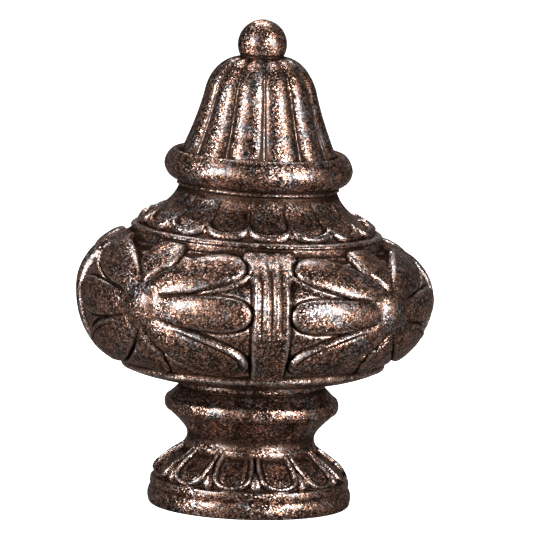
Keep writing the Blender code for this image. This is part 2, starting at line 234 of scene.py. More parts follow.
def bezier(start, handle_a, handle_b, end, count):
    """Points along one cubic curve, without its first point."""
    points = []
    for k in range(1, count + 1):
        t = k / count
        s = 1.0 - t
        weights = (s ** 3, 3 * s * s * t, 3 * s * t * t, t ** 3)
        knots = (start, handle_a, handle_b, end)
        points.append(tuple(sum(w * p[i] for w, p in zip(weights, knots)) for i in (0, 1)))
    return points


def straight(start, end, count):
    """Points along a straight stretch, without its first point."""
    return [tuple(a + (b - a) * k / count for a, b in zip(start, end))
            for k in range(1, count + 1)]


def swell(start, end, out, fullness, count):
    """Points of a roll from start to end that stands out to the radius out."""
    points = []
    for k in range(1, count + 1):
        side = -math.cos(math.pi * k / count)
        share = (1.0 - abs(side) ** fullness) ** (1.0 / fullness)
        inner = start[0] + (end[0] - start[0]) * k / count
        height = start[1] + (end[1] - start[1]) * (side + 1.0) / 2.0
        points.append((inner + (out - inner) * share, height))
    return points


def turned_bands(sizes):
    """The outer profile as named bands, each a list of (radius, height) from low to high."""
    bands = []
    height = 0.0
    at = (sizes.underside_radius, 0.0)
    bands.append(("underside", [(0.0, 0.0), (0.6 * at[0], 0.0), (at[0] - 0.3 * MM, 0.0), at]))

    def rows(distance):
        return max(3, round(distance / sizes.row_step))

    def add(name, points):
        nonlocal at
        bands.append((name, points))
        at = points[-1]

    height += sizes.base_band_height
    groove = (sizes.base_groove_radius, height)
    add("band", swell(at, groove, sizes.base_band_radius, ROUND, 20))

    height += sizes.base_fillet_height
    top = (sizes.base_fillet_radius - 0.15 * MM, height)
    add("fillet", swell(at, top, sizes.base_fillet_radius, ROUND, 10))

    low = at
    height += sizes.lappet_height
    top = (sizes.lappet_top_radius, height)
    spread = low[0] - top[0]
    add("lappets", bezier(low, (low[0] + 0.02 * spread, low[1] + 0.46 * sizes.lappet_height),
                          (top[0] + 0.35 * spread, top[1] - 0.26 * sizes.lappet_height), top,
                          rows(1.4 * sizes.lappet_height)))

    height += sizes.neck_lip_height
    lip = (sizes.lappet_top_radius - 0.3 * MM, height)
    add("neck lip", straight(at, lip, 2))

    low = at
    height += sizes.neck_height
    top = (sizes.ring_edge_radius, height)
    pull = (low[0] - sizes.neck_radius) * 2.2
    reach = top[0] - sizes.neck_radius
    add("neck", bezier(low, (low[0] - pull, low[1] + 0.33 * sizes.neck_height),
                       (sizes.neck_radius + 0.3 * reach, top[1] - 0.43 * sizes.neck_height),
                       top, rows(1.2 * sizes.neck_height)))

    height += sizes.ring_height
    edge = (sizes.ring_edge_radius, height)
    add("ring", swell(at, edge, sizes.ring_radius, ROUND, 14))
    height += sizes.ring_slope_height
    foot = (sizes.waist_radius - 0.4 * MM, height)
    add("ring slope", straight(at, foot, rows(1.5 * sizes.ring_slope_height)))
    height += sizes.waist_fillet_height
    top = (sizes.waist_radius - 0.2 * MM, height)
    add("waist", swell(at, top, sizes.waist_radius, ROUND, 8))

    low = at
    belly = (sizes.bulb_radius, height + sizes.bulb_lower_height)
    count = rows(1.65 * sizes.bulb_lower_height)
    lower = []
    power = 2.0 / UNDERSIDE_FULLNESS
    for k in range(1, count + 1):
        turn = math.pi / 2 * k / count
        lower.append((low[0] + (belly[0] - low[0]) * math.sin(turn) ** power,
                      belly[1] - (belly[1] - low[1]) * abs(math.cos(turn)) ** power))
    height += sizes.bulb_lower_height + sizes.bulb_upper_height
    inner = sizes.collar_neck_radius
    reach = (sizes.ledge_radius - inner) / (belly[0] - inner)
    crown = sizes.bulb_upper_height / math.sqrt(1.0 - reach * reach)
    last = math.acos(reach)
    count = rows(1.35 * sizes.bulb_upper_height)
    upper = []
    for k in range(1, count + 1):
        turn = last * k / count
        upper.append((inner + (belly[0] - inner) * math.cos(turn),
                      belly[1] + crown * math.sin(turn)))
    add("bulb", lower + upper)

    low = at
    height += sizes.ledge_height
    foot = (sizes.petal_foot_radius, height)
    add("ledge", bezier(low, (low[0] + 0.1 * MM, low[1] + 0.5 * sizes.ledge_height),
                        (low[0] - 0.3 * MM, height - 0.1 * sizes.ledge_height), foot, 8))

    low = at
    height += sizes.petal_height
    top = (sizes.collar_neck_radius + 0.1 * MM, height)
    spread = low[0] - top[0]
    add("petals", bezier(low, (top[0] + 0.95 * spread, low[1] + 0.38 * sizes.petal_height),
                         (top[0] + 0.20 * spread, top[1] - 0.62 * sizes.petal_height), top,
                         rows(1.6 * sizes.petal_height)))

    height += sizes.collar_fillet_height
    step = (at[0] + 0.35 * MM, at[1])
    top = (sizes.collar_neck_radius, height)
    add("collar fillet", straight(at, step, 2) + straight(step, top, 2))
    height += sizes.collar_height
    rim = (sizes.dome_foot_radius + RIM_WIDTH, height - 0.1 * MM)
    cleft = (sizes.dome_foot_radius + CLEFT_WIDTH, height - CLEFT_DEPTH)
    roll = swell(at, rim, sizes.collar_radius, COLLAR_FULLNESS, 34)
    add("collar", roll + straight(rim, cleft, 4))

    low = (sizes.dome_foot_radius, at[1])
    height = at[1] + CLEFT_DEPTH + sizes.dome_flare_height
    top = (sizes.dome_shoulder_radius, height)
    spread = low[0] - top[0]
    flare = bezier(low, (low[0] - 0.38 * spread, low[1] + 0.32 * sizes.dome_flare_height),
                   (top[0] + 0.21 * spread, top[1] - 0.33 * sizes.dome_flare_height), top,
                   rows(sizes.dome_flare_height))
    low = top
    height += sizes.dome_crown_height
    top = (sizes.ball_seat_radius, height)
    spread = low[0] - top[0]
    crown = bezier(low, (low[0] - 0.11 * spread, low[1] + 0.46 * sizes.dome_crown_height),
                   (top[0] + 0.58 * spread, top[1] - 0.08 * sizes.dome_crown_height), top,
                   rows(1.5 * sizes.dome_crown_height))
    add("dome", [(sizes.dome_foot_radius, at[1] + 0.02 * MM)] + flare + crown)

    seat = math.sqrt(sizes.ball_radius ** 2 - sizes.ball_seat_radius ** 2)
    centre = at[1] + seat
    first = math.atan2(-seat, sizes.ball_seat_radius)
    ball = []
    count = 40
    for k in range(1, count + 1):
        turn = first + (math.pi / 2 - first) * k / count
        ball.append((sizes.ball_radius * math.cos(turn),
                     centre + sizes.ball_radius * math.sin(turn)))
    ball[-1] = (0.0, centre + sizes.ball_radius)
    add("ball", ball)
    return bands


def smooth(low, high, value):
    """0 below low, 1 above high, and an even slope between."""
    t = np.clip((value - low) / (high - low), 0.0, 1.0)
    return t * t * (3.0 - 2.0 * t)


def repeat(turn, count):
    """Position across one of count equal repeats: 0 in its middle, -1 and 1 at its edges."""
    share = turn * count / (2.0 * math.pi)
    return 2.0 * (share - np.round(share))


def leaf(across, up, root, tip, bow, width, fattest, blunt):
    """How far out a point lies in a leaf: 0 on its crown, 1 on its outline, more outside."""
    dx, dy = tip[0] - root[0], tip[1] - root[1]
    span = math.hypot(dx, dy)
    along = ((across - root[0]) * dx + (up - root[1]) * dy) / span ** 2
    side = ((up - root[1]) * dx - (across - root[0]) * dy) / span
    side = side - bow * 4.0 * along * (1.0 - along)
    behind = np.maximum((fattest - along) / fattest, 0.0) ** 1.7
    ahead = np.maximum((along - fattest) / (1.0 - fattest), 0.0) ** blunt
    return np.sqrt((side / width) ** 2 + behind + ahead)


def laid(surface, out, crown, edge, groove):
    """Lay a leaf on the surface: a rounded body, and a fine groove along its outline."""
    body = edge + (crown - edge) * np.clip(1.0 - out ** 4, 0.0, 1.0) ** 0.6
    cover = 1.0 - smooth(0.98, 1.02, out)
    ditch = groove * np.exp(-((out - 1.035) / 0.055) ** 2)
    return surface + (body - surface) * cover - ditch


def bulb_relief(turn, climb, length, belly, count):
    """Palmettes and reeded stems: 0 on the deepest ground, 1 on the crowns of the leaves."""
    stem_side = np.abs(repeat(turn, count)) * PATTERN_HALF_WIDTH
    x = PATTERN_HALF_WIDTH - stem_side
    up = climb - belly
    y = np.where(up > 0, up * PATTERN_ABOVE / (length - belly), up * PATTERN_BELOW / belly)
    apart = smooth(3.5, 10.0, np.hypot(x, y))

    # The ground between the leaves, and the reeded stem.
    surface = np.zeros_like(x) + 0.52 - 0.27 * smooth(3.0, 8.0, y)
    half = 4.2 + 3.3 * smooth(6.5, 15.0, y)
    edge = stem_side / half
    reeded = 0.24 * smooth(-7.0, -1.0, y) * (1.0 - 0.7 * smooth(8.0, 15.0, y))
    reeds = 0.93 - reeded * (1.0 + np.cos(2.0 * math.pi * stem_side / (half * 0.5))) * 0.5
    reeds = reeds - 0.38 * smooth(8.0, 16.0, y)
    stem = 0.45 + (reeds - 0.45) * np.clip(1.0 - edge ** 8, 0.0, 1.0) ** 0.5
    surface = np.where(edge < 1.0, stem, surface)
    surface = surface - 0.28 * np.exp(-((stem_side - half - 0.1) / 0.25) ** 2)

    # The leaves, laid over each other from the lowest to the highest.
    tongue = leaf(x, y, *TONGUE)
    surface = laid(surface, tongue, 0.92, 0.45, 0.30 * apart)
    lower = leaf(x, y, *LOWER_LEAF)
    surface = laid(surface, lower, 0.98, 0.50, 0.34 * apart)
    above = smooth(0.0, 1.5, y + 1.2 + 0.483 * (x + 0.5)) * smooth(5.0, 9.0, x)
    rim = 0.17 * np.exp(-((lower - 0.86) / 0.055) ** 2)
    ditch = 0.10 * np.exp(-((lower - 0.72) / 0.05) ** 2)
    surface = surface + (rim - ditch) * above
    hood = leaf(x, y, *HOOD)
    surface = laid(surface, hood, 0.92, 0.45, 0.30 * apart)
    sliver = leaf(x, y, *SLIVER)
    surface = laid(surface, sliver, 0.72, 0.45, 0.12)
    upper = leaf(x, y, *UPPER_LEAF)
    surface = laid(surface, upper, 1.0, 0.50, 0.36 * apart)
    hollow = np.hypot((x - 9.8) / 4.8, (y - 14.9 + 0.04 * (x - 9.8)) / 1.15)
    surface = surface - 0.5 * (1.0 - smooth(0.6, 1.15, hollow))
    middle = leaf(x, y, *MIDDLE_LEAF)
    surface = laid(surface, middle, 1.0, 0.50, 0.34 * apart)

    # The hub with its boss, where the leaves meet.
    hub = np.hypot(x / 7.0, (y - 0.3) / 6.5)
    surface = np.maximum(surface, 0.93 * np.clip(1.0 - hub ** 4, 0.0, 1.0) ** 0.6)
    boss = np.clip(1.0 - (x / 3.6) ** 2 - ((y - 0.3) / 5.0) ** 2, 0.0, 1.0)

    # The plain bands under and over the pattern.
    surface = 0.1 + (surface - 0.1) * smooth(-17.7, -16.6, y)
    surface = surface + (0.58 - surface) * smooth(16.75, 17.15, y)
    under = 0.96 * (1.0 - smooth(-18.8, -17.7, y))
    return np.maximum(surface, under), boss


def lappet_relief(turn, share, count):
    """Hollowed lappets with a rolled edge, and a drop low down between each two."""
    side = np.abs(repeat(turn + math.pi / count, count))
    reach = 0.86 + 0.11 * smooth(0.3, 0.75, share)
    below = np.clip((0.36 - share) / 0.34, 0.0, 1.0)
    inside = 1.0 - np.hypot(side / reach, below)
    thick = 0.13 + 0.10 * below
    roll = np.sqrt(np.clip(1.0 - ((inside - thick) / thick) ** 2, 0.0, 1.0))
    dish = 0.34 * smooth(0.0, 0.12, inside) + 0.16 * np.exp(-((inside - 0.46) / 0.07) ** 2)
    drop_side = (1.0 - side) / (0.32 - 0.34 * np.clip(share, 0.0, 0.6))
    drop = np.sqrt(np.clip(1.0 - drop_side ** 2 - ((share - 0.3) / 0.28) ** 2, 0.0, 1.0))
    foot = 1.0 - smooth(0.0, 0.05, share)
    head = smooth(0.9, 1.0, share)
    relief = np.maximum(np.maximum(roll, dish), 0.9 * drop)
    return np.maximum(relief, np.maximum(foot, 0.8 * head))


def petal_relief(turn, share, count):
    """Broad petals that end in a thick roll along their scalloped lower edge."""
    side = np.abs(repeat(turn, count))
    scallop = 1.0 - np.sqrt(np.clip(1.0 - (0.97 * side) ** 2.2, 0.0, 1.0))
    above = share - 0.02 - 0.34 * scallop
    body = smooth(-0.012, 0.03, above)
    roll = np.sqrt(np.clip(1.0 - ((above - 0.095) / 0.115) ** 2, 0.0, 1.0))
    plain = (0.50 + 0.30 * smooth(0.35, 1.0, share)) * body
    seam = np.exp(-((1.0 - side) / 0.07) ** 2) * (1.0 - smooth(0.75, 0.95, share))
    dart_side = (1.0 - side) / 0.16
    dart = np.sqrt(np.clip(1.0 - dart_side ** 2 - ((share - 0.27) / 0.13) ** 2, 0.0, 1.0))
    relief = np.maximum(plain - 0.22 * seam * body, roll)
    relief = np.maximum(relief, 0.75 * dart)
    top = smooth(0.93, 1.0, share)
    return np.clip(np.maximum(relief, top), 0.0, 1.0)


def lobe_relief(turn, share, count, depth):
    """How deep the surface lies between the lobes of the dome, as a share of its radius."""
    side = np.abs(repeat(turn + math.pi / count, count))
    dip = 1.0 - np.sqrt(np.clip(1.0 - (0.985 * side) ** 2, 0.0, 1.0))
    fillet = 0.40 * np.exp(-((1.0 - side) / 0.055) ** 2)
    foot = smooth(0.0, 0.035, share)
    round_foot = np.sqrt(np.clip(1.0 - (1.0 - np.clip(share / 0.06, 0.0, 1.0)) ** 2, 0.0, 1.0))
    head = 1.0 - smooth(0.93, 1.0, share)
    return depth * ((dip - fillet) * foot * (0.25 + 0.75 * head) + 0.35 * (1.0 - round_foot))


def soft_waves(rows, columns, seed, coarse_rows, coarse_columns):
    """Even random swellings over the grid, closed round the turn, between -1 and 1."""
    rng = np.random.default_rng(seed)
    knots = rng.uniform(-1.0, 1.0, (coarse_rows + 3, coarse_columns))

    def blend(values, places):
        first = np.floor(places).astype(int)
        t = (places - first)[:, None]
        parts = [values[(first + k) % len(values)] for k in (-1, 0, 1, 2)]
        weights = [((1 - t) ** 3) / 6, (3 * t ** 3 - 6 * t ** 2 + 4) / 6,
                   (-3 * t ** 3 + 3 * t ** 2 + 3 * t + 1) / 6, t ** 3 / 6]
        return sum(w * p for w, p in zip(weights, parts))

    tall = blend(knots, 1.0 + rows * coarse_rows)
    return blend(tall.T, columns * coarse_columns).T


def evened(rows, along):
    """Average of each row with its neighbours, over some rows."""
    reach = int(3 * along) + 1
    kernel = np.exp(-0.5 * (np.arange(-reach, reach + 1) / along) ** 2)
    kernel /= kernel.sum()
    padded = np.pad(rows, ((reach, reach), (0, 0)), mode="edge")
    return sum(k * padded[i:i + len(rows)] for i, k in enumerate(kernel))


def blurred(grid, across, along):
    """Average of the grid over some columns and rows, closed round the turn."""
    wide = np.fft.rfft(grid, axis=1)
    steps = np.arange(wide.shape[1])
    wide *= np.exp(-0.5 * (2.0 * math.pi * steps[None, :] * across[:, None]
                           / grid.shape[1]) ** 2)
    return evened(np.fft.irfft(wide, n=grid.shape[1], axis=1), along)


def standing_out(height_map, profile, outward, spacing, row_step, distance):
    """How far each point stands out of its surroundings within a distance.

    The spacing is the distance between columns in each row, and row_step the one between rows.
    """
    rows = distance / row_step
    relief = height_map - blurred(height_map, distance / spacing, rows)
    bend = ((profile - evened(profile, rows)) * outward).sum(axis=1)
    return relief + bend[:, None]


def carving_depth(sizes, bands, profile, run, band_of, turns):
    """How far each point of the grid is sunk under the turned profile, in metres."""
    names = [name for name, _ in bands]
    sink = np.zeros((len(profile), len(turns)))
    turn = turns[None, :]

    def stretch(name):
        own = np.nonzero(band_of == names.index(name))[0]
        start, end = run[own[0] - 1], run[own[-1]]
        return own, (run[own] - start)[:, None], end - start

    own, climb, span = stretch("lappets")
    relief = lappet_relief(turn - sizes.foot_turn, climb / span, sizes.lappet_count)
    sink[own] = sizes.lappet_depth * (1.0 - relief)

    own, climb, span = stretch("petals")
    relief = petal_relief(turn - sizes.petal_turn, climb / span, sizes.petal_count)
    sink[own] = sizes.petal_depth * (1.0 - relief)

    own, climb, span = stretch("bulb")
    fattest = own[np.argmax(profile[own, 0])]
    belly = run[fattest] - run[own[0] - 1]
    relief, boss = bulb_relief(turn, climb, span, belly, sizes.palmette_count)
    sink[own] = sizes.leaf_depth * (1.0 - relief) - sizes.boss_height * boss

    own, climb, span = stretch("ledge")
    sink[own] = LEDGE_SHARE * sizes.leaf_depth * (1.0 - climb / span) ** 1.5

    own, climb, span = stretch("dome")
    turned = turn - sizes.dome_turn
    dip = lobe_relief(turned, climb / span, sizes.lobe_count, sizes.lobe_share)
    sink[own] = profile[own, 0][:, None] * dip
    return sink


def flat_sheet(columns, rows):
    """A flat grid to be wrapped round the axis, and the column and row of each point."""
    bm = bmesh.new()
    bmesh.ops.create_grid(bm, x_segments=columns, y_segments=rows - 1, size=0.5)
    mesh = bpy.data.meshes.new("finial_sheet")
    bm.to_mesh(mesh)
    bm.free()
    place = np.empty(len(mesh.vertices) * 3)
    mesh.vertices.foreach_get("co", place)
    place = place.reshape(-1, 3)
    column = np.round((place[:, 0] + 0.5) * columns).astype(int) % columns
    row = np.round((place[:, 1] + 0.5) * (rows - 1)).astype(int)
    return mesh, column, row


def close_up(mesh):
    """Join the wrapped sheet at its seam and on the axis, and turn its faces outwards."""
    bm = bmesh.new()
    bm.from_mesh(mesh)
    bmesh.ops.remove_doubles(bm, verts=bm.verts[:], dist=0.000001)
    bmesh.ops.recalc_face_normals(bm, faces=bm.faces[:])
    bm.to_mesh(mesh)
    bm.free()


def carved_piece(sizes):
    """Spin the profile into a closed body and press the carving into it."""
    bands = turned_bands(sizes)
    profile = np.array([point for _, points in bands for point in points])
    band_of = np.repeat(np.arange(len(bands)), [len(points) for _, points in bands])
    run = np.concatenate([[0.0], np.cumsum(np.hypot(*np.diff(profile, axis=0).T))])
    tangent = np.gradient(profile, axis=0)
    tangent /= np.maximum(np.hypot(tangent[:, 0], tangent[:, 1]), 1e-12)[:, None]
    outward = np.stack([tangent[:, 1], -tangent[:, 0]], axis=1)

    columns = sizes.columns
    mesh, column, row = flat_sheet(columns, len(profile))
    turns = np.arange(columns) * 2.0 * math.pi / columns
    turns = np.where(turns > math.pi, turns - 2.0 * math.pi, turns)

    sink = carving_depth(sizes, bands, profile, run, band_of, turns)
    share = run / run[-1]
    around = np.arange(columns) / columns
    waves = 0.6 * soft_waves(share, around, *LARGE_WAVES)
    waves += 0.4 * soft_waves(share, around, *SMALL_WAVES)
    inside = smooth(0.0, 1.0 * MM, profile[:, 1]) * smooth(0.0, 2.0 * MM, profile[:, 0])
    sink += sizes.unevenness * (1.0 + waves) * inside[:, None]

    spacing = np.maximum(profile[:, 0] * 2.0 * math.pi / columns, 0.02 * MM)
    fine, broad = (standing_out(-sink, profile, outward, spacing, sizes.row_step, distance)
                   for distance in (EDGE_REACH, HOLLOW_REACH))
    crown = np.clip(0.5 + fine / EDGE_HEIGHT, 0.0, 1.0)
    hollow = np.clip(-broad / HOLLOW_DEPTH, 0.0, 1.0)

    moved = sink[row, column]
    radius = profile[row, 0] - outward[row, 0] * moved
    height = profile[row, 1] - outward[row, 1] * moved
    radius[profile[row, 0] < 1e-9] = 0.0
    flat = band_of[row] == 0
    height[flat] = UNDERSIDE
    radius[flat] = profile[row, 0][flat]
    radius *= SNUG
    height *= SNUG_HEIGHT
    turn = turns[column]
    place = np.stack([radius * np.sin(turn), -radius * np.cos(turn), height], axis=1)
    heights, shares = np.array(ASKEW).T
    place[:, 2] -= place[:, 0] * math.tan(sizes.tilt) * np.interp(height, heights * MM, shares)
    mesh.vertices.foreach_set("co", place.ravel())
    for name, values in (("crown", crown[row, column]), ("hollow", hollow[row, column])):
        layer = mesh.attributes.new(name, "FLOAT", "POINT")
        layer.data.foreach_set("value", values.astype(np.float32))
    close_up(mesh)
    return mesh


def thinned(mesh, faces_kept):
    """Keep fine faces on the carving and fewer on the plain stretches."""
    helper = bpy.data.objects.new("finial_helper", mesh)
    bpy.context.scene.collection.objects.link(helper)
    even = helper.modifiers.new("even faces", "TRIANGULATE")
    even.quad_method = "SHORTEST_DIAGONAL"
    triangles = sum(len(p.vertices) - 2 for p in mesh.polygons)
    thin = helper.modifiers.new("thin plain stretches", "DECIMATE")
    thin.decimate_type = "COLLAPSE"
    thin.ratio = min(1.0, faces_kept / triangles)
    bpy.context.view_layer.update()
    depsgraph = bpy.context.evaluated_depsgraph_get()
    result = bpy.data.meshes.new_from_object(helper.evaluated_get(depsgraph))
    bpy.data.objects.remove(helper, do_unlink=True)
    bpy.data.meshes.remove(mesh)
    return result


class Nodes:
    """Short calls for building a node tree."""

    def __init__(self, tree):
        self.tree = tree
        self.place = 0

    def add(self, kind, **values):
        """A new node with its settings, laid out in rows of eight."""
        node = self.tree.nodes.new(kind)
        node.location = (self.place % 8 * 220, -(self.place // 8) * 320)
        self.place += 1
        for name, value in values.items():
            setattr(node, name, value)
        return node

    def link(self, source, target):
        """Join an output to an input."""
        self.tree.links.new(source, target)

    def noise(self, vector, scale, detail, roughness, distortion=0.0):
        """Cloudy noise between 0 and 1."""
        node = self.add("ShaderNodeTexNoise")
        self.link(vector, node.inputs["Vector"])
        node.inputs["Scale"].default_value = scale
        node.inputs["Detail"].default_value = detail
        node.inputs["Roughness"].default_value = roughness
        node.inputs["Distortion"].default_value = distortion
        return node.outputs["Fac"]

    def flakes(self, vector, scale):
        """For each flake of the paint two random numbers and a random lean."""
        node = self.add("ShaderNodeTexVoronoi", feature="F1")
        self.link(vector, node.inputs["Vector"])
        node.inputs["Scale"].default_value = scale
        parts = self.add("ShaderNodeSeparateColor")
        self.link(node.outputs["Color"], parts.inputs["Color"])
        lean = self.add("ShaderNodeVectorMath", operation="SUBTRACT")
        self.link(node.outputs["Color"], lean.inputs[0])
        lean.inputs[1].default_value = (0.5, 0.5, 0.5)
        return parts.outputs["Red"], parts.outputs["Green"], lean.outputs["Vector"]

    def scaled(self, colour, gain):
        """The colour times a number."""
        node = self.add("ShaderNodeVectorMath", operation="SCALE")
        self.link(colour, node.inputs[0])
        self.link(gain, node.inputs["Scale"])
        return node.outputs["Vector"]

    def span(self, value, low, high, to_low=0.0, to_high=1.0):
        """The range from low to high brought to another range, with soft ends."""
        node = self.add("ShaderNodeMapRange", interpolation_type="SMOOTHSTEP")
        self.link(value, node.inputs["Value"])
        node.inputs["From Min"].default_value = low
        node.inputs["From Max"].default_value = high
        node.inputs["To Min"].default_value = to_low
        node.inputs["To Max"].default_value = to_high
        return node.outputs["Result"]

    def math(self, operation, a, b, clamp=False):
        """Two values, each an output or a number, reckoned together."""
        node = self.add("ShaderNodeMath", operation=operation, use_clamp=clamp)
        for socket, value in zip(node.inputs, (a, b)):
            if isinstance(value, (int, float)):
                socket.default_value = value
            else:
                self.link(value, socket)
        return node.outputs["Value"]

    def mix(self, factor, a, b):
        """From the colour a to the colour b by a factor."""
        node = self.add("ShaderNodeMix", data_type="RGBA")
        sockets = (node.inputs[0], node.inputs[6], node.inputs[7])
        for socket, value in zip(sockets, (factor, a, b)):
            if hasattr(value, "links"):
                self.link(value, socket)
            else:
                socket.default_value = value
        return node.outputs[2]

    def by_ray(self, cast, seen, output):
        """One shader for what the camera sees, another for the light that is cast."""
        both = self.add("ShaderNodeMixShader")
        self.link(self.add("ShaderNodeLightPath").outputs["Is Camera Ray"], both.inputs["Fac"])
        self.link(cast, both.inputs[1])
        self.link(seen, both.inputs[2])
        self.link(both.outputs["Shader"], output.inputs["Surface"])


def bronze_finish(colours):
    """Metallic bronze paint over a casting: flakes, patina blotches, painted shade in hollows,
    paler edges of wear and painted highlight.
    """
    material = bpy.data.materials.new("bronze_finish")
    material.use_nodes = True
    tree = material.node_tree
    shader = tree.nodes["Principled BSDF"]
    n = Nodes(tree)
    where = n.add("ShaderNodeTexCoord").outputs["Object"]
    crown = n.add("ShaderNodeAttribute", attribute_name="crown").outputs["Fac"]
    hollow = n.add("ShaderNodeAttribute", attribute_name="hollow").outputs["Fac"]

    # Patterns of the finish, from the largest to the smallest.
    coarse = 1.0 / colours.blotch_size
    cloud = n.noise(where, coarse * 0.45, 3.0, 0.55)
    blotch = n.noise(where, coarse, 4.0, 0.62, 0.6)
    patch = n.noise(where, coarse * 2.0, 4.0, 0.6, 0.8)
    mottle = n.noise(where, coarse * 4.2, 3.0, 0.6, 0.4)
    dabs = n.noise(where, coarse * 7.0, 2.0, 0.5)
    pits = n.noise(where, coarse * 14.0, 2.0, 0.6)
    flake_tone, flake_tilt, flake_lean = n.flakes(where, 1.0 / colours.grain_size)

    # Brown to copper, with dabs of warmer copper and a grey-blue bloom.
    warm = n.math("ADD", n.math("MULTIPLY", mottle, 0.6), n.math("MULTIPLY", cloud, 0.5))
    base = n.mix(n.span(warm, 0.46, 0.66), tuple(colours.brown), tuple(colours.copper))
    ember = n.math("MULTIPLY", n.span(dabs, 0.56, 0.66), n.span(cloud, 0.42, 0.6, 0.15, 0.65))
    base = n.mix(ember, base, tuple(colours.ember))
    bloom = n.math("MULTIPLY", n.span(blotch, 0.53, 0.61), 0.75)
    base = n.mix(bloom, base, tuple(colours.patina))

    # Flakes from dark to light, and darker mottles, patches and pits.
    tone = n.math("ADD", n.math("MULTIPLY", n.math("POWER", flake_tone, 2.5), 2.0), 0.20)
    tone = n.math("MULTIPLY", tone, n.span(mottle, 0.34, 0.66, 0.75, 1.22))
    tone = n.math("MULTIPLY", tone, n.span(patch, 0.46, 0.54, 0.60, 1.35))
    tone = n.math("MULTIPLY", tone, n.span(pits, 0.38, 0.50, 0.12, 1.15))
    base = n.scaled(base, tone)
    base = n.mix(n.span(flake_tone, 0.6, 1.0, 0.0, 0.45), base, tuple(colours.wear_and_highlight))

    # Paler raised edges, partly rubbed wear and partly painted highlight, and painted shade in
    # the hollows and creases.
    wear_and_highlight = n.math("MULTIPLY", n.span(crown, 0.66, 1.0), n.span(mottle, 0.4, 0.62, 0.1, 0.5))
    base = n.mix(wear_and_highlight, base, tuple(colours.wear_and_highlight))
    # Painted shade: deep marks the hollows off the crowns, low the fine creases.
    deep = n.math("MULTIPLY", n.span(hollow, 0.20, 0.6), n.span(crown, 0.74, 0.54, 0.0, 0.95))
    low = n.math("MULTIPLY", n.span(crown, 0.37, 0.16), 0.97)
    dark = n.math("MAXIMUM", deep, low)
    base = n.mix(dark, base, tuple(colours.crevice_shade))
    n.link(base, shader.inputs["Base Color"])

    # Glossy and dull flakes under a thin lacquer, with dull bloom, and duller with less lacquer
    # where shade is painted.
    rough = n.span(flake_tilt, 0.0, 1.0, 0.20, 0.40)
    rough = n.math("ADD", rough, n.math("MULTIPLY", bloom, 0.12))
    rough = n.math("ADD", rough, n.math("MULTIPLY", dark, 0.2), clamp=True)
    n.link(rough, shader.inputs["Roughness"])
    shader.inputs["Metallic"].default_value = 0.96
    shader.inputs["Specular Tint"].default_value = (0.30, 0.25, 0.22, 1.0)
    shader.inputs["Coat Roughness"].default_value = 0.22
    n.link(n.math("MULTIPLY", n.math("SUBTRACT", 1.0, dark), 0.32), shader.inputs["Coat Weight"])

    # Fine ripples along the turn, and the lean of each flake.
    flat = n.add("ShaderNodeVectorMath", operation="MULTIPLY")
    n.link(where, flat.inputs[0])
    flat.inputs[1].default_value = (1.0, 1.0, 2.2)
    ripple = n.noise(flat.outputs["Vector"], coarse * 11.0, 2.0, 0.6)
    height = n.math("ADD", n.math("MULTIPLY", mottle, 0.6), n.math("MULTIPLY", ripple, 1.5))
    bump = n.add("ShaderNodeBump")
    bump.inputs["Strength"].default_value = 0.7
    bump.inputs["Distance"].default_value = 0.10 * MM
    n.link(height, bump.inputs["Height"])
    lean = n.add("ShaderNodeVectorMath", operation="MULTIPLY_ADD")
    n.link(flake_lean, lean.inputs[0])
    lean.inputs[1].default_value = (0.30, 0.30, 0.30)
    n.link(bump.outputs["Normal"], lean.inputs[2])
    even = n.add("ShaderNodeVectorMath", operation="NORMALIZE")
    n.link(lean.outputs["Vector"], even.inputs[0])
    n.link(even.outputs["Vector"], shader.inputs["Normal"])
    return material


class FINIAL_OT_casting(bpy.types.Operator):
    """Model the carved casting and give it its bronze finish"""
    bl_idname = "finial.casting"
    bl_label = "Casting"

    def execute(self, context):
        sizes = context.scene.finial_sizes
        mesh = thinned(carved_piece(sizes), sizes.faces_kept)
        mesh.name = "finial_casting"
        piece = bpy.data.objects.new("finial_casting", mesh)
        context.scene.collection.objects.link(piece)
        mesh.materials.clear()
        mesh.materials.append(bronze_finish(context.scene.finial_finish))
        mesh.shade_smooth()
        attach(piece, "root")
        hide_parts("finial")
        return {"FINISHED"}


def direction(turn, lift):
    """Unit vector from the finial outwards, turned from the front and lifted."""
    return Vector((math.sin(turn) * math.cos(lift), -math.cos(turn) * math.cos(lift),
                   math.sin(lift)))


